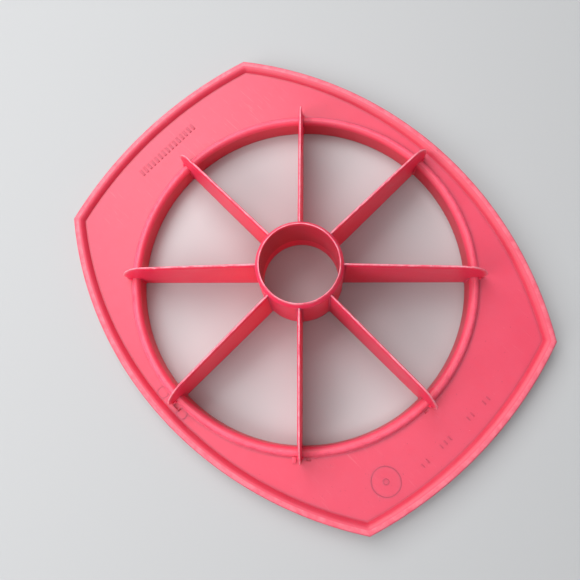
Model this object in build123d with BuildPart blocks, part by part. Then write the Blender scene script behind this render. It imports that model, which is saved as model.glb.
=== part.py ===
from math import asin, cos, radians, sin
import os

from build123d import *

# Apple slicer and corer, moulded in one shot of plastic: a curved, rimmed plate with a
# round opening, a collar around it, a coring ring in the middle and eight radial blades.
# It lies as it does on a table, cutting edges up: Z = 0 is the table, the Z axis is the
# axis of the coring ring, and X runs from one handle end to the other. Millimetres.

os.makedirs("parts", exist_ok=True)

# Opening, and the collar around it: a wall that stands on the table, with a round bead
opening_radius = 48.0  # at the table
opening_draft = 0.3  # the opening is this much smaller in radius under the bead
collar_wall = 2.6
bead_height = 1.8  # above the plate

# Plate, seen from above: four arcs that meet at four blunt corners
side_land = 3.15  # plate left between collar and rim in the middle of a long side
handle_reach = 17.9  # from the collar to the end of a handle
side_rise = 20.1  # how far a long side bulges past its two corners
end_rise = 5.5  # how far a handle end bulges past its two corners
plate_bottom = 3.1
plate_thickness = 2.4

# Raised rim around the plate
rim_width = 3.2
rim_height = 1.4  # above the plate
rim_depth = 0.6  # below the plate's underside
rim_outer_round = 0.5
rim_inner_round = 1.9  # width of the rounding between the crest and the plate

# Coring ring, with its bevel on the outside of the edge
ring_top = 23.8
ring_bore_radius = 10.45  # at the cutting edge
ring_draft = 0.8  # the bore is this much larger in radius at the table
ring_wall = 1.15
ring_edge_width = 0.2
ring_bevel_height = 1.5

# Blades
blade_count = 8
blade_thickness = 1.0
blade_edge_width = 0.3
blade_bevel_height = 1.2
ring_above_blades = 1.4
blade_fall = 0.116  # drop of the cutting edge for each millimetre outwards
shoulder_inside_collar = 3.8  # where the cutting edge starts to turn down
fin_reach = 1.8  # how far the fin stands on the plate outside the collar
fin_upright = 2.0  # height of the upright end of the fin above the plate
turn_softness = 3.8  # length of the handles of the curve that turns the edge down

# Worked out from the sizes above
plate_top = plate_bottom + plate_thickness
rim_bottom = plate_bottom - rim_depth
rim_top = plate_top + rim_height
bead_radius = collar_wall / 2
bead_spring = plate_top + bead_height - bead_radius
bore_under_bead = opening_radius - opening_draft
collar_outer_radius = bore_under_bead + collar_wall
half_width = collar_outer_radius + side_land + rim_width
half_length = collar_outer_radius + handle_reach
ring_outer_radius = ring_bore_radius + ring_wall
ring_middle_radius = ring_bore_radius + ring_wall / 2
blade_top_at_ring = ring_top - ring_above_blades
bevel_width = (blade_thickness - blade_edge_width) / 2


def edge_height(radius):
    """Height of the straight part of a blade's cutting edge at this radius."""
    return blade_top_at_ring - blade_fall * (radius - ring_outer_radius)


def plan_arcs():
    """Centre, outward direction and radius of the four arcs of the plan outline."""
    corner_x = half_length - end_rise
    corner_y = half_width - side_rise
    side_radius = (corner_x**2 + side_rise**2) / (2 * side_rise)
    end_radius = (corner_y**2 + end_rise**2) / (2 * end_rise)
    for sign in (1, -1):
        yield Vector(0, sign * (half_width - side_radius)), Vector(0, sign), side_radius
        yield Vector(sign * (half_length - end_radius), 0), Vector(sign, 0), end_radius


def upright_plane(origin, outward):
    """Plane with its x axis along outward and its y axis up."""
    return Plane(origin=origin, x_dir=outward, z_dir=outward.cross(Vector(0, 0, 1)))


def along_cutting_edge(edge):
    """Whether a blade's edge lies along its top, its turned-down end or its upright fin."""
    middle = edge @ 0.5
    beyond_ring = Vector(middle.X, middle.Y).length > ring_outer_radius
    return beyond_ring and middle.Z > plate_top and edge.length > blade_thickness + bevel_width


def first_then(mode, index):
    """Add the first shape, then combine the others with it."""
    return Mode.ADD if index == 0 else mode


# Flat plate between the rim and the collar
with BuildPart() as frame_plate:
    with BuildSketch(Plane.XY.offset(plate_bottom)):
        for index, (centre, outward, radius) in enumerate(plan_arcs()):
            with Locations(centre):
                Circle(radius - rim_width, mode=first_then(Mode.INTERSECT, index))
        Circle(collar_outer_radius, mode=Mode.SUBTRACT)
    extrude(amount=plate_thickness)

# What the rim leaves free inside: straight through the plate, then hollowed around its round
crest_radius = (rim_inner_round**2 + rim_height**2) / (2 * rim_height)
half_turn = asin(rim_inner_round / crest_radius) / 2
with BuildPart() as rim_inside:
    for index, (centre, outward, radius) in enumerate(plan_arcs()):
        with BuildSketch(upright_plane(centre, outward)):
            with BuildLine():
                root = (radius - rim_width, plate_top)
                crest = (radius - rim_width + rim_inner_round, rim_top)
                halfway = (
                    crest[0] - crest_radius * sin(half_turn),
                    rim_top - crest_radius * (1 - cos(half_turn)),
                )
                ThreePointArc(root, halfway, crest)
                Polyline(
                    crest,
                    (crest[0], rim_top + rim_height),
                    (0, rim_top + rim_height),
                    (0, rim_bottom - rim_depth),
                    (root[0], rim_bottom - rim_depth),
                    root,
                )
            make_face()
        revolve(axis=Axis(centre, (0, 0, 1)), mode=first_then(Mode.INTERSECT, index))

# Rim: rounded outside, sloping down to the plate inside
with BuildPart() as outer_rim:
    for index, (centre, outward, radius) in enumerate(plan_arcs()):
        with BuildSketch(upright_plane(centre, outward)):
            with BuildLine():
                round_foot = (radius, rim_top - rim_outer_round)
                round_head = (radius - rim_outer_round, rim_top)
                Polyline(round_head, (0, rim_top), (0, rim_bottom), (radius, rim_bottom), round_foot)
                RadiusArc(round_foot, round_head, -rim_outer_round)
            make_face()
        revolve(axis=Axis(centre, (0, 0, 1)), mode=first_then(Mode.INTERSECT, index))
    add(rim_inside.part, mode=Mode.SUBTRACT)

# Collar: wall and bead turned in one profile
with BuildPart() as opening_collar:
    with BuildSketch(Plane.XZ):
        with BuildLine():
            spring_inner = (bore_under_bead, bead_spring)
            spring_outer = (collar_outer_radius, bead_spring)
            Polyline(spring_outer, (collar_outer_radius, 0), (opening_radius, 0), spring_inner)
            crest = (bore_under_bead + bead_radius, bead_spring + bead_radius)
            ThreePointArc(spring_inner, crest, spring_outer)
        make_face()
    revolve(axis=Axis.Z)

# Coring ring: a tapered tube with its bevel on the outside
with BuildPart() as coring_ring:
    with BuildSketch(Plane.XZ):
        with BuildLine():
            Polyline(
                (ring_bore_radius + ring_draft, 0),
                (ring_outer_radius + ring_draft, 0),
                (ring_outer_radius, ring_top - ring_bevel_height),
                (ring_bore_radius + ring_edge_width, ring_top),
                (ring_bore_radius, ring_top),
                close=True,
            )
        make_face()
    revolve(axis=Axis.Z)

frame_plate.part.label = "frame_plate"
outer_rim.part.label = "outer_rim"
opening_collar.part.label = "opening_collar"
coring_ring.part.label = "coring_ring"

# Blades: each runs from the coring ring to the collar and on over the bead as a fin
blades = []
for number in range(blade_count):
    angle = radians(360 / blade_count * number)
    blade_plane = upright_plane(Vector(0, 0, 0), Vector(cos(angle), sin(angle)))
    across = Axis((0, 0, 0), blade_plane.z_dir)
    with BuildPart() as blade:
        with BuildSketch(blade_plane):
            with BuildLine():
                in_ring_foot = (ring_middle_radius + ring_draft, 0)
                in_ring_top = (ring_middle_radius, edge_height(ring_middle_radius))
                shoulder = Vector(bore_under_bead - shoulder_inside_collar, 0)
                shoulder.Y = edge_height(shoulder.X)
                fin_end = Vector(collar_outer_radius + fin_reach, plate_top + fin_upright)
                fall_direction = Vector(1, -blade_fall).normalized()
                Polyline(in_ring_foot, in_ring_top, shoulder)
                Bezier(
                    shoulder,
                    shoulder + fall_direction * turn_softness,
                    fin_end + Vector(0, turn_softness),
                    fin_end,
                )
                Polyline(
                    fin_end,
                    (fin_end.X, plate_top - plate_thickness / 2),
                    (bore_under_bead + collar_wall / 2, plate_top - plate_thickness / 2),
                    (bore_under_bead + collar_wall / 2, 0),
                    in_ring_foot,
                )
            make_face()
        extrude(amount=blade_thickness / 2, both=True)
        for side in (0, -1):
            flank = blade.faces().filter_by(across).sort_by(across)[side]
            edges = flank.edges().filter_by(along_cutting_edge)
            chamfer(edges, length=blade_bevel_height, length2=bevel_width, reference=flank)
        for neighbour in (opening_collar, coring_ring, frame_plate):
            add(neighbour.part, mode=Mode.SUBTRACT)
    blade.part.label = f"blade_{number + 1}"
    blades.append(blade)

for piece in [frame_plate, outer_rim, opening_collar, coring_ring] + blades:
    export_step(piece.part, f"parts/{piece.part.label}.step")
    print(piece.part.label, piece.part.volume, piece.part.is_valid, len(piece.part.solids()))
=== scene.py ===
import bmesh
import bpy
from math import asin, cos, degrees, hypot, pi, radians, sin
from mathutils import Matrix, Vector
from random import Random


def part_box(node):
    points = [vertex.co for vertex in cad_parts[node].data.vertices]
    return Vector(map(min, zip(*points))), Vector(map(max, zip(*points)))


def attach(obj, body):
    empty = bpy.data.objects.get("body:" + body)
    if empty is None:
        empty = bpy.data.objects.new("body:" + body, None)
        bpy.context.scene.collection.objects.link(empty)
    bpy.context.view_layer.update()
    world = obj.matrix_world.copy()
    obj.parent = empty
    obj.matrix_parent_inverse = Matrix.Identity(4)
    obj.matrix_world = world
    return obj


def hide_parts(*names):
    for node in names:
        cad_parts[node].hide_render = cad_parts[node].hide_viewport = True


# An apple slicer and corer moulded in one colour: rim, plate, collar, coring ring and eight blades,
# each made here with operators around the CAD frame. Metres, Z up, cutting edges up.
mm = 0.001
near = 0.01 * mm  # slack where a vertex is found by its place
mergeWithin = 0.002 * mm
bladeCount = 8
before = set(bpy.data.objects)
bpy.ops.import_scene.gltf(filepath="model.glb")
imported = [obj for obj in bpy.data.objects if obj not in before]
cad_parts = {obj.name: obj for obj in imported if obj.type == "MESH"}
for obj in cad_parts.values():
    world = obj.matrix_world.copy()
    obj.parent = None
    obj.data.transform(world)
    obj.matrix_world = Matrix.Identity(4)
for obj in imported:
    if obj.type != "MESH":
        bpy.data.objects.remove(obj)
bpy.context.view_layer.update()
rimLow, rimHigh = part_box("outer_rim")
plateLow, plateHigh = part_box("frame_plate")
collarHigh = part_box("opening_collar")[1]
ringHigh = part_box("coring_ring")[1]
plateTop = plateHigh.z
plateUnder = plateLow.z


# small hands for modelling with operators

def activate(piece, *others):
    bpy.ops.object.select_all(action="DESELECT")
    for each in (piece, *others):
        each.select_set(True)
    bpy.context.view_layer.objects.active = piece


def startPen(name, point):
    # a new mesh with one selected vertex, in edit mode
    bpy.ops.object.select_all(action="DESELECT")
    bpy.ops.mesh.primitive_circle_add(vertices=3, radius=mm)
    bpy.context.object.name = name
    bpy.ops.object.mode_set(mode="EDIT")
    bpy.ops.mesh.select_mode(type="VERT")
    bpy.ops.mesh.select_all(action="SELECT")
    bpy.ops.mesh.merge(type="CENTER")
    bpy.ops.transform.translate(value=point)


def drawLine(name, points):
    # an open line of edges through the points
    points = [Vector(point) for point in points]
    startPen(name, points[0])
    for here, there in zip(points, points[1:]):
        bpy.ops.mesh.extrude_vertices_move(TRANSFORM_OT_translate={"value": there - here})
    bpy.ops.mesh.select_all(action="SELECT")
    bpy.ops.mesh.remove_doubles(threshold=mergeWithin)
    bpy.ops.mesh.select_all(action="SELECT")


def drawFace(name, points):
    drawLine(name, points)
    bpy.ops.mesh.edge_face_add()


def pick(kind, test):
    bpy.ops.mesh.select_mode(type=kind)
    bpy.ops.mesh.select_all(action="DESELECT")
    mesh = bpy.context.object.data
    edit = bmesh.from_edit_mesh(mesh)
    for part in {"VERT": edit.verts, "EDGE": edit.edges, "FACE": edit.faces}[kind]:
        if test(part):
            part.select_set(True)
    bmesh.update_edit_mesh(mesh)


def manySided(face):
    # the drawn outline's own face, among the four-sided ones around it
    return len(face.verts) > 4


def finish(smoothAngle):
    # cleans the mesh, turns its faces outwards and leaves it smooth up to the angle
    bpy.ops.mesh.select_all(action="SELECT")
    bpy.ops.mesh.remove_doubles(threshold=mergeWithin)
    bpy.ops.mesh.normals_make_consistent(inside=False)
    # on a wide, thin shell the operator can choose the wrong side, which the volume's sign shows
    if bmesh.from_edit_mesh(bpy.context.object.data).calc_volume(signed=True) < 0:
        bpy.ops.mesh.flip_normals()
    bpy.ops.object.mode_set(mode="OBJECT")
    bpy.ops.object.shade_smooth_by_angle(angle=radians(smoothAngle))
    return bpy.context.object


def joined(piece, *others):
    activate(piece, *others)
    bpy.ops.object.join()
    return piece


def copied(piece, name):
    copy = piece.copy()
    copy.data = piece.data.copy()
    copy.name = name
    bpy.context.collection.objects.link(copy)
    return copy


def arcPoints(centre, radius, first, last, steps):
    # points on an arc, by angles in degrees, as pairs
    turn = [radians(first + (last - first) * i / steps) for i in range(steps + 1)]
    return [(centre[0] + radius * cos(a), centre[1] + radius * sin(a)) for a in turn]


def turned(name, section, steps, smoothAngle):
    # a closed section of (radius, height) pairs, spun about the Z axis
    drawLine(name, [(r, 0, z) for r, z in section + section[:1]])
    bpy.ops.mesh.spin(steps=steps, angle=2 * pi, center=(0, 0, 0), axis=(0, 0, 1))
    return finish(smoothAngle)


def mark(piece, name, test, value=1.0):
    # an attribute for the material, with the value where the test holds
    attribute = piece.data.attributes.new(name, "FLOAT", "POINT")
    for vert in piece.data.vertices:
        attribute.data[vert.index].value = value if test(vert.co) else 0.0


def placed(piece, node):
    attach(piece, "root")
    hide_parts(node)
    return piece


# plan outline: four arcs that meet at blunt corners

plan = {"sideRise": 20.1 * mm, "endRise": 5.5 * mm, "sideSteps": 84, "endSteps": 46}

cornerX = rimHigh.x - plan["endRise"]
cornerY = rimHigh.y - plan["sideRise"]
sideRadius = (cornerX ** 2 + plan["sideRise"] ** 2) / (2 * plan["sideRise"])
endRadius = (cornerY ** 2 + plan["endRise"] ** 2) / (2 * plan["endRise"])


def inwardOf(co):
    # how far a place lies inside the outline
    fromSide = sideRadius - hypot(co.x, abs(co.y) + sideRadius - rimHigh.y)
    fromEnd = endRadius - hypot(abs(co.x) + endRadius - rimHigh.x, co.y)
    return min(fromSide, fromEnd)


def planOutline():
    # anticlockwise, without the repeated last point
    end = (rimHigh.x, endRadius, degrees(asin(cornerY / endRadius)), plan["endSteps"])
    side = (rimHigh.y, sideRadius, degrees(asin(cornerX / sideRadius)), plan["sideSteps"])
    points = []
    for quarter, (reach, radius, half, steps) in enumerate((end, side, end, side)):
        middle = 90 * quarter
        away = reach - radius
        centre = (away * cos(radians(middle)), away * sin(radians(middle)))
        points += arcPoints(centre, radius, middle - half, middle + half, steps)[:-1]
    return points


def planFace(name, height):
    drawFace(name, [(x, y, height) for x, y in planOutline()])


def insetBy(inward, up=0):
    bpy.ops.mesh.inset(thickness=inward, depth=up, use_boundary=True, use_even_offset=True)


# rim: upright outside with a small round, a land on top, then a round that steepens to a crisp root

rim = {"width": 3.2 * mm, "flat": 0.2 * mm, "footRound": 0.5 * mm, "partingHeight": 5.1 * mm,
       "partingStep": 0.1 * mm, "partingRise": 0.04 * mm, "outerRound": 0.55 * mm, "crestIn": 0.75 * mm,
       "landFall": 0.05 * mm, "innerRound": 1.9 * mm, "rootFillet": 0.22 * mm, "rootBend": (0.3, 0.12),
       "outerSteps": 6, "innerSteps": 9, "footSteps": 4, "smooth": 32,
       "wornDepth": 0.12 * mm, "paintedShadeUpTo": 1.1 * mm, "paintedShadeFrom": 2 * mm, "paintedShadeShare": 0.6}


def rimProfile():
    # (inward, height) pairs from the foot of the outer wall to the plate
    top = rimHigh.z
    shoulder = rim["partingStep"]
    roundFoot = top - rim["outerRound"]
    profile = [(0, rimLow.z + rim["footRound"]), (0, rim["partingHeight"]),
               (shoulder, rim["partingHeight"] + rim["partingRise"]), (shoulder, roundFoot)]
    across = rim["crestIn"] - shoulder
    for i in range(1, rim["outerSteps"] + 1):
        a = pi / 2 * i / rim["outerSteps"]
        profile.append((shoulder + across * (1 - cos(a)), roundFoot + rim["outerRound"] * sin(a)))
    landEnd = rim["width"] - rim["innerRound"]
    landHeight = top - rim["landFall"]
    drop = landHeight - plateTop
    slopeRadius = (rim["innerRound"] ** 2 + drop ** 2) / (2 * drop)
    steepest = asin(rim["innerRound"] / slopeRadius)
    for i in range(rim["innerSteps"]):
        a = steepest * i / rim["innerSteps"]
        profile.append((landEnd + slopeRadius * sin(a), landHeight - slopeRadius * (1 - cos(a))))
    # a small fillet with one point between its ends, then the plate's level
    root = rim["rootFillet"]
    bendIn, bendUp = rim["rootBend"]
    profile += [(rim["width"] + bendIn * root, plateTop + bendUp * root), (rim["width"] + root, plateTop),
                (rim["width"] + root + rim["flat"], plateTop)]
    return profile


def makeRim():
    profile = rimProfile()
    planFace("rimPiece", profile[0][1])
    for (inA, highA), (inB, highB) in zip(profile, profile[1:]):
        if inB > inA:
            insetBy(inB - inA, highB - highA)
        else:
            bpy.ops.mesh.extrude_region_move(TRANSFORM_OT_translate={"value": (0, 0, highB - highA)})
    bpy.ops.mesh.delete(type="ONLY_FACE")
    # underside: the foot's round, then level in to the plate
    pick("FACE", manySided)
    foot = rim["footRound"]
    steps = rim["footSteps"]
    for i in range(steps):
        a, b = pi / 2 * i / steps, pi / 2 * (i + 1) / steps
        insetBy(foot * (cos(a) - cos(b)), foot * (sin(b) - sin(a)))
    insetBy(profile[-1][0] - foot)
    bpy.ops.mesh.delete(type="ONLY_FACE")
    bpy.ops.mesh.select_mode(type="EDGE")
    bpy.ops.mesh.select_all(action="DESELECT")
    bpy.ops.mesh.select_non_manifold()
    bpy.ops.mesh.bridge_edge_loops()
    return finish(rim["smooth"])


# the rim's inner foot, where the root is painted darker: painted shade
def atInnerFoot(co):
    return plateTop - near < co.z < plateTop + rim["paintedShadeUpTo"] and inwardOf(co) > rim["paintedShadeFrom"]


print("rim")
rimPiece = placed(makeRim(), "outer_rim")
# the rim's crest is worn paler and carries a painted highlight
mark(rimPiece, "wearDirtAndPaintedLight", lambda co: co.z > rimHigh.z - rim["wornDepth"])
# painted shade at the rim's inner foot, with the darker inside tone
mark(rimPiece, "inside", atInnerFoot, rim["paintedShadeShare"])
plateInset = rim["width"] + rim["rootFillet"] + rim["flat"]


# collar: wall and bead around the opening, filleted onto the plate above and below

collar = {"wall": 2.6 * mm, "draft": 0.3 * mm, "rootFillet": 0.46 * mm, "underFillet": 0.5 * mm,
          "flat": 0.2 * mm, "footRound": 0.35 * mm, "steps": 288, "beadSteps": 18, "rootSteps": 8,
          "underSteps": 5, "footSteps": 4, "smooth": 32, "paintedLightFrom": 0.3}
beadRadius = collar["wall"] / 2
beadSpring = collarHigh.z - beadRadius
beadMiddle = collarHigh.x - beadRadius
boreUnderBead = collarHigh.x - collar["wall"]
# the root fillet touches the bead's round this far above level, and the plate this far out
rootAngle = asin((collar["rootFillet"] + plateTop - beadSpring) / (beadRadius + collar["rootFillet"]))
rootMiddle = beadMiddle + (beadRadius + collar["rootFillet"]) * cos(rootAngle)
holeRadius = rootMiddle + collar["flat"]


def collarSection():
    outer = collarHigh.x
    bore = boreUnderBead + collar["draft"]
    foot = collar["footRound"]
    under = collar["underFillet"]
    root = collar["rootFillet"]
    lean = degrees(rootAngle)
    section = arcPoints((bore + foot, foot), foot, 270, 180, collar["footSteps"])
    section += arcPoints((beadMiddle, beadSpring), beadRadius, 180, lean, collar["beadSteps"])
    section += arcPoints((rootMiddle, plateTop + root), root, 180 + lean, 270, collar["rootSteps"])[1:]
    section += [(holeRadius, plateTop), (holeRadius, plateUnder), (outer + under, plateUnder)]
    section += arcPoints((outer + under, plateUnder - under), under, 90, 180, collar["underSteps"])[1:]
    section += arcPoints((outer - foot, foot), foot, 0, -90, collar["footSteps"])
    return section


def onBead(co):
    # the bead's crest and outer flank, which are painted lighter: painted light
    return co.z > plateTop + near and hypot(co.x, co.y) > beadMiddle - collar["paintedLightFrom"] * beadRadius


print("collar")
collarPiece = turned("collarPiece", collarSection(), collar["steps"], collar["smooth"])
# painted light over the bead's crest and outer flank
mark(collarPiece, "wearDirtAndPaintedLight", onBead)
# painted shade on the collar's inner wall below the bead
mark(collarPiece, "inside", lambda co: co.z < beadSpring and hypot(co.x, co.y) < beadMiddle)


# coring ring: a tapered tube, bevelled outside to a narrow edge

ring = {"wall": 1.15 * mm, "draft": 0.8 * mm, "edge": 0.2 * mm, "edgeSoft": 0.05 * mm, "bevel": 1.5 * mm,
        "bevelSoft": (0.06 * mm, 0.1 * mm), "footRound": 0.3 * mm, "wornDepth": 0.02 * mm,
        "steps": 192, "boreSteps": 24, "outerSteps": 12, "footSteps": 4, "smooth": 24}
ringOuter = ringHigh.x - ring["draft"]


def ringSection():
    top = ringHigh.z
    boreFoot = ringHigh.x - ring["wall"]
    bore = boreFoot - ring["draft"]
    bevelFoot = top - ring["bevel"]
    foot = ring["footRound"]
    soft = ring["edgeSoft"]
    softIn, softUp = ring["bevelSoft"]
    boreSteps, outerSteps = ring["boreSteps"], ring["outerSteps"]
    section = arcPoints((boreFoot + foot, foot), foot, 270, 180, ring["footSteps"])
    section += [(boreFoot - ring["draft"] * i / boreSteps, top * i / boreSteps) for i in range(2, boreSteps)]
    section += [(bore, top - soft), (bore + soft, top), (bore + ring["edge"], top)]
    section += [(ringOuter - softIn, bevelFoot + softUp), (ringOuter, bevelFoot - softUp)]
    section += [(ringOuter + ring["draft"] * i / outerSteps, bevelFoot * (1 - i / outerSteps))
                for i in range(1, outerSteps)]
    section += arcPoints((ringHigh.x - foot, foot), foot, 0, -90, ring["footSteps"])
    return section


# the ring's bore, which is painted darker: painted shade
def inBore(co):
    return co.z < ringHigh.z - ring["bevel"] and hypot(co.x, co.y) < ringOuter - ring["wall"] / 2


print("coring ring")
ringPiece = placed(turned("coringRingPiece", ringSection(), ring["steps"], ring["smooth"]), "coring_ring")
# the ring's top edge is worn paler and carries a painted highlight
mark(ringPiece, "wearDirtAndPaintedLight", lambda co: co.z > ringHigh.z - ring["wornDepth"])
# painted shade in the ring's bore
mark(ringPiece, "inside", inBore)


# plate, from the rim's flat to the collar's flat

plate = {"openingInset": 0.3 * mm, "smooth": 30}


def makePlate():
    planFace("platePiece", plateUnder)
    insetBy(plateInset)
    bpy.ops.mesh.select_mode(type="FACE")
    bpy.ops.mesh.select_all(action="INVERT")
    bpy.ops.mesh.delete(type="FACE")
    # a second inset is rounded into the circle of the opening
    bpy.ops.mesh.select_all(action="SELECT")
    insetBy(plate["openingInset"])
    bpy.ops.mesh.select_mode(type="VERT")
    bpy.ops.transform.tosphere(value=1)
    edit = bmesh.from_edit_mesh(bpy.context.object.data)
    size = holeRadius / next(hypot(vert.co.x, vert.co.y) for vert in edit.verts if vert.select)
    bpy.ops.transform.resize(value=(size, size, 1), center_override=(0, 0, 0))
    bpy.ops.mesh.select_mode(type="FACE")
    bpy.ops.mesh.delete(type="ONLY_FACE")
    bpy.ops.mesh.select_all(action="SELECT")
    bpy.ops.mesh.extrude_region_move(TRANSFORM_OT_translate={"value": (0, 0, plateTop - plateUnder)})
    return finish(plate["smooth"])


print("plate")
platePiece = makePlate()


# mould marks on the plate: plain relief instead of lettering, ejector rings, pads and pockets by the fins

marks = {"relief": 0.2 * mm, "sunk": 0.3 * mm, "softening": 0.06 * mm, "softSegments": 2, "smooth": 50,
         "grimeFrom": 0.5, "grimeTo": 1.5,
         "barRow": {"x": -58.8 * mm, "from": -11.4 * mm, "to": 10.0 * mm, "count": 15,
                    "size": (2.2 * mm, 0.75 * mm)},
         "dashes": {"x": 60.1 * mm, "places": (-13.4, -11.6, -6.2, -4.6, -3.0, 4.4, 6.0, 10.6, 12.2),
                    "size": (1.3 * mm, 0.34 * mm)},
         "insert": {"centre": (56.2 * mm, -23.5 * mm), "radii": (4.0 * mm, 0.75 * mm), "thick": 0.26 * mm},
         "ejector": {"radius": 1.55 * mm, "thick": 0.3 * mm, "places": ((-4.1, -51.75), (4.1, -51.75))},
         "ridge": {"sunk": 0.3, "around": 56, "across": 8, "smooth": 60},
         # blade number, radius, across (towards the next blade), radial size, tangential size, in mm
         "pads": ((8, 51.25, -1.65, 1.8, 1.1), (7, 51.3, -1.5, 1.2, 0.8), (3, 51.2, 1.6, 1.1, 0.9)),
         "padHeight": 0.55 * mm,
         "pockets": ((7, 51.45, 1.85, 1.15, 2.5), (8, 51.05, 2.35, 1.0, 1.3), (1, 50.95, -2.2, 0.8, 1.3)),
         "pocketDepth": 0.6 * mm}


def block(x, y, low, high, size, turn=0):
    # a small box standing on low, turned about Z, with softened edges
    bpy.ops.object.select_all(action="DESELECT")
    bpy.ops.mesh.primitive_cube_add(size=1, location=(x, y, (low + high) / 2), rotation=(0, 0, turn),
                                    scale=(size[0], size[1], high - low))
    bpy.ops.object.transform_apply()
    bpy.ops.object.mode_set(mode="EDIT")
    bpy.ops.mesh.select_all(action="SELECT")
    bpy.ops.mesh.bevel(offset=marks["softening"], segments=marks["softSegments"])
    return finish(marks["smooth"])


def raisedBlock(x, y, height, size, turn=0):
    return block(x, y, plateTop - marks["sunk"], plateTop + height, size, turn)


def ridgeRing(x, y, radius, thick):
    # a thin ring, partly sunk into the plate
    ridge = marks["ridge"]
    bpy.ops.object.select_all(action="DESELECT")
    bpy.ops.mesh.primitive_torus_add(location=(x, y, plateTop - ridge["sunk"] * thick), major_radius=radius,
                                     minor_radius=thick / 2, major_segments=ridge["around"],
                                     minor_segments=ridge["across"])
    bpy.ops.object.transform_apply()
    bpy.ops.object.mode_set(mode="EDIT")
    return finish(ridge["smooth"])


def besideBlade(number, radius, across):
    turn = 2 * pi * (number - 1) / bladeCount
    place = Matrix.Rotation(turn, 3, "Z") @ Vector((radius * mm, across * mm, 0))
    return place.x, place.y, turn


def cutPockets(piece, cutter):
    activate(piece)
    cut = piece.modifiers.new("pockets", "BOOLEAN")
    cut.operation = "DIFFERENCE"
    cut.solver = "EXACT"
    cut.object = cutter
    bpy.ops.object.modifier_apply(modifier=cut.name)
    bpy.ops.object.shade_smooth_by_angle(angle=radians(collar["smooth"]))


print("mould marks")
raised = []
row = marks["barRow"]
for i in range(row["count"]):
    y = row["from"] + (row["to"] - row["from"]) * i / (row["count"] - 1)
    raised.append(raisedBlock(row["x"], y, marks["relief"], row["size"]))
dashes = marks["dashes"]
for y in dashes["places"]:
    raised.append(raisedBlock(dashes["x"], y * mm, marks["relief"], dashes["size"]))
insert = marks["insert"]
for radius in insert["radii"]:
    raised.append(ridgeRing(*insert["centre"], radius, insert["thick"]))
ejector = marks["ejector"]
for x, y in ejector["places"]:
    raised.append(ridgeRing(x * mm, y * mm, ejector["radius"], ejector["thick"]))
for number, radius, across, *size in marks["pads"]:
    x, y, turn = besideBlade(number, radius, across)
    raised.append(raisedBlock(x, y, marks["padHeight"], [side * mm for side in size], turn))
cutters = []
for number, radius, across, *size in marks["pockets"]:
    x, y, turn = besideBlade(number, radius, across)
    cutters.append(block(x, y, plateTop - marks["pocketDepth"], plateTop + marks["pocketDepth"],
                         [side * mm for side in size], turn))
cutter = joined(*cutters)
cutPockets(platePiece, cutter)
cutPockets(collarPiece, cutter)
bpy.data.objects.remove(cutter)
placed(joined(platePiece, *raised), "frame_plate")
placed(collarPiece, "opening_collar")
grimeFrom, grimeTo = marks["grimeFrom"] * marks["relief"], marks["grimeTo"] * marks["relief"]
mark(platePiece, "wearDirtAndPaintedLight", lambda co: grimeFrom < co.z - plateTop < grimeTo)


# blades: cutting edge, fin over the bead, and fillets where they meet the collar and the ring

blade = {"thickness": 1.0 * mm, "edge": 0.3 * mm, "bevel": 1.2 * mm, "ringGap": 1.4 * mm, "fall": 0.116,
         "shoulderIn": 3.8 * mm, "finReach": 1.8 * mm, "finUpright": 2.0 * mm, "finFoot": 0.6 * mm,
         "finTaper": 0.83, "softness": 3.8 * mm, "edgeStep": 0.6 * mm, "turnSteps": 24, "footGap": 0.06 * mm,
         "smooth": 12, "wornWidth": 0.6, "wornAbove": 0.1 * mm}
edgeWear = {"waver": 0.035 * mm, "evenness": 0.4, "above": 3 * mm, "clearOfEnds": 2 * mm,
            # in mm: half width, push to a side and push down of a nick
            "width": (0.35, 0.8), "aside": (-0.12, 0.12), "down": (-0.22, -0.08),
            # how many nicks each blade has
            "nicks": {1: 5, 2: 2, 3: 7, 4: 1, 5: 3, 6: 6, 7: 2, 8: 2}}
fillet = {"size": 0.45 * mm, "steps": 5, "sunk": 0.2 * mm, "foot": 0.3 * mm, "beadSteps": 14, "rootSteps": 6,
          # length, then what is left of the width and of the height
          "plateTail": ((0.3 * mm, 0.6, 0.8), (0.35 * mm, 0.3, 0.5)), "ringTail": (0.8 * mm, 0.5),
          "smooth": 40}
shoulderAt = boreUnderBead - blade["shoulderIn"]


def edgeHeight(r):
    return ringHigh.z - blade["ringGap"] - blade["fall"] * (r - ringOuter)


def cuttingEdge():
    # (radius, height) pairs from inside the ring's wall, out and down to the fin's foot
    start = ringOuter - ring["wall"] / 2
    steps = round((shoulderAt - start) / blade["edgeStep"])
    radii = [start + (shoulderAt - start) * i / steps for i in range(steps)]
    points = [(r, edgeHeight(r)) for r in radii]
    a = Vector((shoulderAt, edgeHeight(shoulderAt)))
    d = Vector((collarHigh.x + blade["finReach"], plateTop + blade["finUpright"]))
    b = a + Vector((1, -blade["fall"])).normalized() * blade["softness"]
    c = d + Vector((0, blade["softness"]))
    turnSteps = blade["turnSteps"]
    for i in range(turnSteps + 1):
        t = i / turnSteps
        point = a * (1 - t) ** 3 + b * 3 * t * (1 - t) ** 2 + c * 3 * t * t * (1 - t) + d * t ** 3
        points.append((point.x, point.y))
    return points


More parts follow.
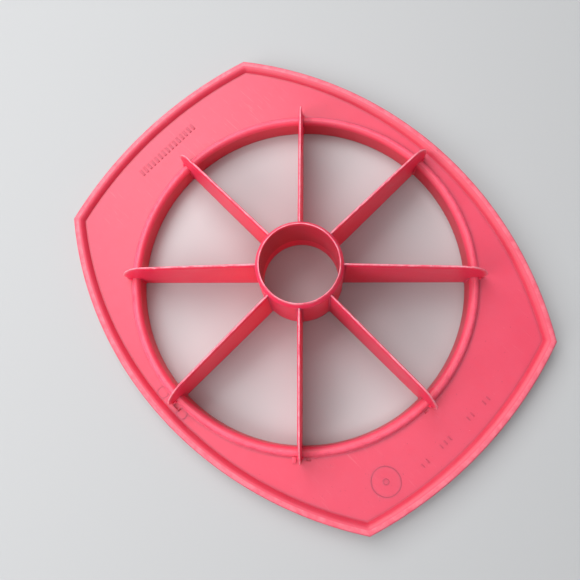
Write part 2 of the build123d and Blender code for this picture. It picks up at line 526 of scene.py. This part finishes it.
def bladeBody(name):
    edge = cuttingEdge()
    half = blade["thickness"] / 2
    finEnd = edge[-1][0]
    inPlate = (plateTop + plateUnder) / 2
    ringFoot = ringHigh.x - ring["wall"] / 2
    foot = blade["footGap"]
    points = edge + [(finEnd, plateTop + blade["finFoot"]), (finEnd, inPlate), (beadMiddle, inPlate),
                     (beadMiddle, foot), (ringFoot, foot)]
    drawFace(name, [(r, half, z) for r, z in points])
    bpy.ops.mesh.extrude_region_move(TRANSFORM_OT_translate={"value": (0, -2 * half, 0)})
    pick("FACE", manySided)
    bpy.ops.mesh.inset(thickness=blade["bevel"], depth=0, use_even_offset=True, use_individual=True)
    # towards the fin's end the flanks stop shorter, so that the fin thins out to a point
    edit = bmesh.from_edit_mesh(bpy.context.object.data)
    flanks = {vert.index for face in edit.faces if face.select for vert in face.verts}
    pick("VERT", lambda vert: vert.index in flanks and vert.co.x > shoulderAt)
    bpy.ops.transform.resize(value=(blade["finTaper"], 1, 1), center_override=(shoulderAt, 0, 0))
    # what the inset left outside is the cutting edge: it is squeezed to its width
    pick("VERT", lambda vert: vert.index not in flanks and vert.co.z > inPlate + near)
    bpy.ops.transform.resize(value=(1, blade["edge"] / blade["thickness"], 1), center_override=(0, 0, 0))
    return finish(blade["smooth"])


def filletSection(corner, alongFlank, side):
    # closed concave section at a corner between a wall and a flank, sunk a little into both
    size, steps, sunk = fillet["size"], fillet["steps"], fillet["sunk"]
    corner, a, b = Vector(corner), Vector(alongFlank), Vector((0, side, 0))
    turns = [pi * i / (2 * steps) for i in range(steps + 1)]
    curve = [corner + a * size * (1 - sin(turn)) + b * size * (1 - cos(turn)) for turn in turns]
    return [corner - a * sunk - b * sunk, curve[0] - b * sunk] + curve + [curve[-1] - a * sunk]


def extrudeTo(step, scale=None, pivot=(0, 0, 0)):
    bpy.ops.mesh.extrude_region_move(TRANSFORM_OT_translate={"value": step})
    if scale:
        bpy.ops.transform.resize(value=scale, center_override=pivot)


def collarFillet(side):
    # up the collar's wall, over the bead, down into its root and out along the plate
    half = side * blade["thickness"] / 2
    foot = fillet["foot"]
    wallAtFoot = boreUnderBead + collar["draft"] * (1 - foot / beadSpring)
    rootCentre = (rootMiddle, 0, plateTop + collar["rootFillet"])
    drawFace("fillet", filletSection((wallAtFoot, half, foot), (-1, 0, 0), side))
    extrudeTo((boreUnderBead - wallAtFoot, 0, beadSpring - foot))
    bpy.ops.mesh.spin(steps=fillet["beadSteps"], angle=pi - rootAngle, center=(beadMiddle, 0, beadSpring),
                      axis=(0, 1, 0))
    bpy.ops.mesh.spin(steps=fillet["rootSteps"], angle=rootAngle - pi / 2, center=rootCentre, axis=(0, 1, 0))
    for length, width, height in fillet["plateTail"]:
        extrudeTo((length, 0, 0), (1, width, height), (0, 0, plateTop))
    return finish(fillet["smooth"])


def ringFillet(side):
    # up the ring's wall and in to nothing under the cutting edge
    foot = fillet["foot"]
    top = edgeHeight(ringOuter) - blade["bevel"]
    lean = ring["draft"] / (ringHigh.z - ring["bevel"])
    wallAtFoot = ringHigh.x - lean * foot
    length, width = fillet["ringTail"]
    drawFace("fillet", filletSection((wallAtFoot, side * blade["thickness"] / 2, foot), (1, 0, 0), side))
    extrudeTo((lean * (foot - top), 0, top - foot))
    extrudeTo((-lean * length, 0, length), (1, width, 1))
    return finish(fillet["smooth"])


def wearEdge(piece, seed, nicks):
    # a moulded edge is never quite straight, and use leaves small nicks in it
    random = Random(seed)
    halfEdge = blade["edge"] / 2 + near

    def onEdge(vert):
        return abs(vert.co.y) < halfEdge and vert.co.z > plateTop + edgeWear["above"]

    activate(piece)
    bpy.ops.object.mode_set(mode="EDIT")
    pick("VERT", onEdge)
    bpy.ops.transform.vertex_random(offset=edgeWear["waver"], uniform=edgeWear["evenness"], normal=0.0,
                                    seed=seed)
    first, last = ringOuter + edgeWear["clearOfEnds"], boreUnderBead - edgeWear["clearOfEnds"]
    for _ in range(nicks):
        place = random.uniform(first, last)
        width = random.uniform(*edgeWear["width"]) * mm
        pick("VERT", lambda vert: onEdge(vert) and abs(vert.co.x - place) < width)
        push = (0, random.uniform(*edgeWear["aside"]) * mm, random.uniform(*edgeWear["down"]) * mm)
        bpy.ops.transform.translate(value=push)
    bpy.ops.object.mode_set(mode="OBJECT")


def onCuttingEdge(co):
    return abs(co.y) < blade["wornWidth"] * blade["edge"] and co.z > plateTop + blade["wornAbove"]


print("blades")
plainBlade = joined(bladeBody("plainBlade"), collarFillet(1), collarFillet(-1),
                    ringFillet(1), ringFillet(-1))
# the cutting edge is worn paler and carries a painted highlight
mark(plainBlade, "wearDirtAndPaintedLight", onCuttingEdge)
bladePieces = []
for number in range(1, bladeCount + 1):
    piece = copied(plainBlade, f"bladePiece_{number}")
    wearEdge(piece, number, edgeWear["nicks"][number])
    piece.rotation_euler.z = 2 * pi * (number - 1) / bladeCount
    activate(piece)
    bpy.ops.object.transform_apply(location=False, rotation=True, scale=False)
    bladePieces.append(placed(piece, f"blade_{number}"))
bpy.data.objects.remove(plainBlade)


# shader writing

class Wire:
    # a socket that can be used in Python sums
    def __init__(self, maker, socket):
        self.maker = maker
        self.socket = socket

    def does(self, operation, *values):
        return self.maker.node("ShaderNodeMath", {"operation": operation}, dict(enumerate(values)))

    def __add__(self, other):
        return self.does("ADD", self, other)

    def __radd__(self, other):
        return self.does("ADD", other, self)

    def __sub__(self, other):
        return self.does("SUBTRACT", self, other)

    def __rsub__(self, other):
        return self.does("SUBTRACT", other, self)

    def __mul__(self, other):
        return self.does("MULTIPLY", self, other)

    def __rmul__(self, other):
        return self.does("MULTIPLY", other, self)


class Maker:
    def __init__(self, name):
        self.material = bpy.data.materials.new(name)
        self.material.use_nodes = True
        self.tree = self.material.node_tree
        self.shader = self.tree.nodes["Principled BSDF"]
        self.place = self.node("ShaderNodeTexCoord", {}, {}, "Object")

    def node(self, kind, settings, values, output=0):
        # settings first, then values or links by socket name or number
        node = self.tree.nodes.new(kind)
        for key, value in settings.items():
            if key == "stops":
                for i, (position, shade) in enumerate(value):
                    stop = node.color_ramp.elements[i] if i < 2 else node.color_ramp.elements.new(position)
                    stop.position = position
                    stop.color = (shade, shade, shade, 1)
            else:
                setattr(node, key, value)
        for key, value in values.items():
            self.feed(node.inputs[key], value)
        return Wire(self, node.outputs[output])

    def feed(self, socket, value):
        if isinstance(value, Wire):
            self.tree.links.new(value.socket, socket)
        else:
            socket.default_value = value

    def set(self, **values):
        # shader sockets by name, with _ for a space
        for key, value in values.items():
            self.feed(self.shader.inputs[key.replace("_", " ")], value)

    def noise(self, scale, detail, roughness, place=None):
        return self.node("ShaderNodeTexNoise", {}, {"Vector": place or self.place, "Scale": scale,
                                                    "Detail": detail, "Roughness": roughness}, "Fac")

    def ramp(self, value, *stops):
        return self.node("ShaderNodeValToRGB", {"stops": stops}, {"Fac": value})

    def between(self, factor, a, b):
        return self.node("ShaderNodeMix", {"data_type": "RGBA"}, {0: factor, 6: a, 7: b}, 2)

    def stretched(self, turn, size):
        return self.node("ShaderNodeMapping", {}, {"Vector": self.place, "Rotation": (0, 0, radians(turn)),
                                                   "Scale": size})

    def showing(self, noise, low, high, place=None):
        # noise that starts to show at low and is full at high
        return self.ramp(self.noise(*noise, place), (low, 0), (high, 1))

    def bump(self, height, strength, distance, under=None):
        values = {"Height": height, "Strength": strength, "Distance": distance}
        if under:
            values["Normal"] = under
        return self.node("ShaderNodeBump", {}, values)


# the one plastic: satin polypropylene, slightly see-through where it is thin

plastic = {"coral": (0.69, 0.057, 0.112, 1), "pale": (0.73, 0.096, 0.158, 1),
           # the blades' and ring's tones: the same plastic recoloured, redder and less grey, for the light
           # on their flanks, painted light and shade
           "deep": (0.92, 0.036, 0.105, 1), "deepPale": (0.96, 0.055, 0.130, 1),
           # on this line: a tone of painted light for the collar's bead, then a tone of painted shade for
           # the inner walls and the rim's inner foot
           "haze": (0.88, 0.115, 0.190, 1), "inside": (0.55, 0.020, 0.045, 1),
           # a tone for worn edges that also paints a highlight along them
           "worn": (0.95, 0.42, 0.48, 1), "grime": (0.42, 0.028, 0.050, 1),
           "speck": (0.30, 0.03, 0.05, 1), "dust": (0.92, 0.62, 0.62, 1),
           "rough": 0.42, "refraction": 1.49,
           "glow": 0.6, "glowTint": (1.0, 0.45, 0.5), "glowDepth": 1.5 * mm}
# scale, detail and roughness of the noises
grain = {"flow": (24, 4, 0.55), "mottle": (160, 3, 0.6), "patches": (420, 4, 0.65), "coarse": (720, 2, 0.5),
         "fine": (4200, 2, 0.5)}
# positions and shades of the ramps
stops = {"tone": ((0.36, 0), (0.64, 1)), "patches": ((0.36, 0.35), (0.62, 1)),
         "wearDirtAndLightMask": ((0.55, 0), (0.95, 1))}
# a noise, and the values between which it comes to show
spots = {"specks": ((2100, 1, 0.4), 0.77, 0.80), "dust": ((1500, 2, 0.7), 0.74, 0.79),
         "scuffed": ((38, 2, 0.5), 0.48, 0.6)}
# the same, then the turn and the stretch of the lines
scuffLines = (((90, 2, 0.6), 0.66, 0.72, 28, 26), ((110, 2, 0.6), 0.67, 0.73, -52, 30))
# how much of each goes into the colour, into the roughness and, with a depth, into the bumps
colourShare = {"flow": 0.65, "mottle": 0.35, "tone": 0.4, "inside": 0.7, "specks": 0.5, "dust": 0.35,
               "scratches": 0.12}
roughShare = {"mottle": 0.1, "flow": 0.08, "edges": 0.12, "scratches": 0.1}
bumps = {"coarse": (0.1, 0.2 * mm), "fine": (0.14, 0.03 * mm), "scratches": (0.25, 0.02 * mm)}


def scuffLine(m, noise, low, high, turn, stretch):
    return m.showing(noise, low, high, m.stretched(turn, (1, stretch, 1)))


def moulded(name, tones, level, wearDirtAndLightTone, wearDirtAndLightShare, scuffs):
    m = Maker(name)
    flow = m.noise(*grain["flow"])
    mottle = m.noise(*grain["mottle"])
    tone = m.ramp(flow * colourShare["flow"] + mottle * colourShare["mottle"], *stops["tone"])
    colour = m.between(tone * colourShare["tone"], plastic[tones[0]], plastic[tones[1]])
    # the rim's crest and the ring's and blades' edges are worn paler and duller and carry a painted
    # highlight, the collar's bead is painted lighter over its crest and outer flank as painted light, raised
    # relief that holds dirt turns darker, all in patches
    wearDirtAndLightMask = m.node("ShaderNodeAttribute", {"attribute_name": "wearDirtAndPaintedLight"}, {}, "Fac")
    patches = m.ramp(m.noise(*grain["patches"]), *stops["patches"])
    edges = m.ramp(wearDirtAndLightMask, *stops["wearDirtAndLightMask"]) * patches * wearDirtAndLightShare
    colour = m.between(edges, colour, plastic[wearDirtAndLightTone])
    # painted shade: the inner walls of the collar and the ring, and the rim's inner foot, take the darker
    # inside tone
    inside = m.node("ShaderNodeAttribute", {"attribute_name": "inside"}, {}, "Fac")
    colour = m.between(inside * colourShare["inside"], colour, plastic["inside"])
    # a few dark specks in the plastic and a little dust on it
    colour = m.between(m.showing(*spots["specks"]) * colourShare["specks"], colour, plastic["speck"])
    colour = m.between(m.showing(*spots["dust"]) * colourShare["dust"], colour, plastic["dust"])
    # fine scuffs in two directions, only in places
    lines, crossed = [scuffLine(m, *look) for look in scuffLines]
    scratches = (lines + crossed) * m.showing(*spots["scuffed"]) * scuffs
    m.set(Base_Color=m.between(scratches * colourShare["scratches"], colour, plastic["dust"]))
    rough = plastic["rough"] + (mottle - 0.5) * roughShare["mottle"] + (flow - 0.5) * roughShare["flow"]
    m.set(Roughness=rough + edges * roughShare["edges"] + scratches * roughShare["scratches"])
    skin = m.bump(m.noise(*grain["coarse"]), *bumps["coarse"])
    skin = m.bump(m.noise(*grain["fine"]), *bumps["fine"], skin)
    m.set(Normal=m.bump(1 - scratches, *bumps["scratches"], skin))
    m.set(Specular_IOR_Level=level, IOR=plastic["refraction"], Subsurface_Weight=plastic["glow"],
          Subsurface_Radius=plastic["glowTint"], Subsurface_Scale=plastic["glowDepth"])
    return m.material


print("materials")
# the second pair is the plastic recoloured for the blades' flanks: painted light and shade
light, flankPaintedTones = ("coral", "pale"), ("deep", "deepPale")
# pieces, tones (the blades' and ring's are recoloured for the light on their flanks: painted light and
# shade), specular level, tone of the wear, dirt and painted light and how much of it, how much scuffing
finishes = {"plateSkin": ([platePiece], light, 0.45, "grime", 0.32, 1.0),
            "rimSkin": ([rimPiece], light, 0.45, "worn", 0.3, 0.6),
            "collarSkin": ([collarPiece], light, 0.4, "haze", 1.3, 0.4),
            "cuttingSkin": ([ringPiece] + bladePieces, flankPaintedTones, 0.25, "worn", 0.8, 0.5)}
for name, (pieces, *look) in finishes.items():
    skin = moulded(name, *look)
    for piece in pieces:
        piece.data.materials.clear()
        piece.data.materials.append(skin)
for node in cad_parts.values():
    node.material_slots[0].material = bpy.data.materials["plateSkin"]


# camera, floor and lamps

print("camera, floor and lamps")
view = {"place": (0.02401, -0.01837, 0.14966), "turn": (10.334, 4.507, 45.754), "lens": 31.14,
        "sensor": 36, "shift": 0.0267, "nearest": 5 * mm}
bpy.ops.object.camera_add(location=view["place"], rotation=[radians(a) for a in view["turn"]])
camera = bpy.context.object
camera.data.lens = view["lens"]
camera.data.sensor_width = view["sensor"]
camera.data.shift_x = view["shift"]
camera.data.clip_start = view["nearest"]
bpy.context.scene.camera = camera

ground = {"size": 3, "colour": (0.45, 0.455, 0.46, 1), "rough": 0.85}
bpy.ops.mesh.primitive_plane_add(size=ground["size"], location=(0, 0, 0))
floor = bpy.context.object
floor.name = "floor"
paper = Maker("floorPaper")
paper.set(Base_Color=ground["colour"], Roughness=ground["rough"])
floor.data.materials.append(paper.material)

# azimuth and elevation in degrees, distance and size in metres, power in watts
lamps = {"windowLamp": (172, 54, 0.60, 0.43, 3.05), "ceilingLamp": (250, 84, 0.60, 0.60, 1.6),
         "deskLamp": (258, 42, 0.55, 0.30, 1.5)}
for name, (azimuth, elevation, distance, size, power) in lamps.items():
    a, e = radians(azimuth), radians(elevation)
    towards = Vector((cos(a) * cos(e), sin(a) * cos(e), sin(e)))
    bpy.ops.object.light_add(type="AREA", location=towards * distance)
    lamp = bpy.context.object
    lamp.name = name
    lamp.data.size = size
    lamp.data.energy = power
    lamp.rotation_euler = towards.to_track_quat("Z", "Y").to_euler()
sky = {"Color": (0.92, 0.95, 1, 1), "Strength": 0.2}
world = bpy.data.worlds.new("studio")
bpy.context.scene.world = world
world.use_nodes = True
for key, value in sky.items():
    world.node_tree.nodes["Background"].inputs[key].default_value = value
bpy.context.scene.view_settings.view_transform = "Standard"
